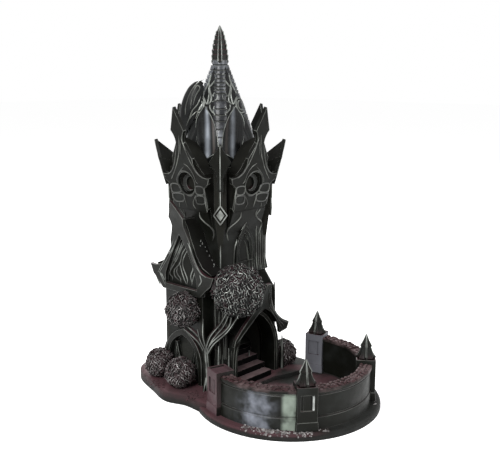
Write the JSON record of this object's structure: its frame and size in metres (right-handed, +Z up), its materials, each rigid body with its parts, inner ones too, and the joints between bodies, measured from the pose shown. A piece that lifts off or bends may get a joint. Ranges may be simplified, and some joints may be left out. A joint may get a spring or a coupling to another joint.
{
  "type": "dice tower",
  "caption": "Gothic castle dice tower with a lift-off domed roof, a baffled square shaft, a pointed door with stairs, and a round walled tray that catches the dice.",
  "frame": {"origin": "on the tower's axis, at the underside of the ground plate", "axes": "+Z up the tower; -Y out of the door, over the tray; -X out of the gabled bay"},
  "size_m": [0.15, 0.211, 0.3],
  "materials": {
    "stone_black": "silk black printed plastic, satin to glossy, with fine layer lines",
    "wine_black": "the same silk plastic where it turns dark wine red, rougher cobbled surface",
    "leaf_black": "silk black printed plastic, carved in small leaves with bright edges",
    "roof_black": "silk black printed plastic, polished-looking, with blue-grey reflections"
  },
  "bodies": {
    "tower": {"baffle_lower": "stone_black", "baffle_middle": "stone_black", "baffle_upper": "stone_black", "base_plate": "wine_black", "bay_gable": "stone_black", "bay_roof": "stone_black", "bay_sill": "wine_black", "bay_tracery": "stone_black", "bay_wall": "stone_black", "blind_arch": "stone_black", "bush_front_left": "leaf_black", "bush_rear_left": "leaf_black", "bush_right": "leaf_black", "buttresses": "stone_black", "corner_diamonds": "stone_black", "corner_horn_front_left": "stone_black", "corner_horn_front_right": "stone_black", "corner_horn_rear_left": "stone_black", "corner_horn_rear_right": "stone_black", "corner_piers": "stone_black", "crown_front": "leaf_black", "crown_left": "leaf_black", "door_arch": "stone_black", "exit_ramp": "stone_black", "gable_front": "stone_black", "gable_housings": "stone_black", "gable_left": "stone_black", "gable_rear": "stone_black", "gable_right": "stone_black", "gable_roofs": "stone_black", "lancet_frames": "stone_black", "lower_shell": "stone_black", "pillar_cap_left_front": "stone_black", "pillar_cap_right_front": "stone_black", "pillar_cap_right_rear": "stone_black", "porch_gable": "stone_black", "porch_roof": "stone_black", "stairs": "wine_black", "tray_coping_front": "wine_black", "tray_coping_left": "wine_black", "tray_coping_right": "wine_black", "tray_pillar_left_front": "stone_black", "tray_pillar_left_rear": "stone_black", "tray_pillar_right_front": "stone_black", "tray_pillar_right_rear": "stone_black", "tray_wall_front": "stone_black", "tray_wall_left": "stone_black", "tray_wall_right": "stone_black", "tree_trunk": "stone_black", "upper_shell": "stone_black", "window_crescents": "stone_black"},
    "roof": {"lid_plug": "stone_black", "roof_dome": "roof_black", "roof_lobe": "roof_black", "roof_petals": "roof_black", "roof_spines": "roof_black", "roof_spire": "roof_black"}
  },
  "joints": [
    {"name": "roof_lift", "type": "slide", "parent": "tower", "child": "roof", "axis": [0, 0, 1], "range_m": [0, 0.06]}
  ]
}
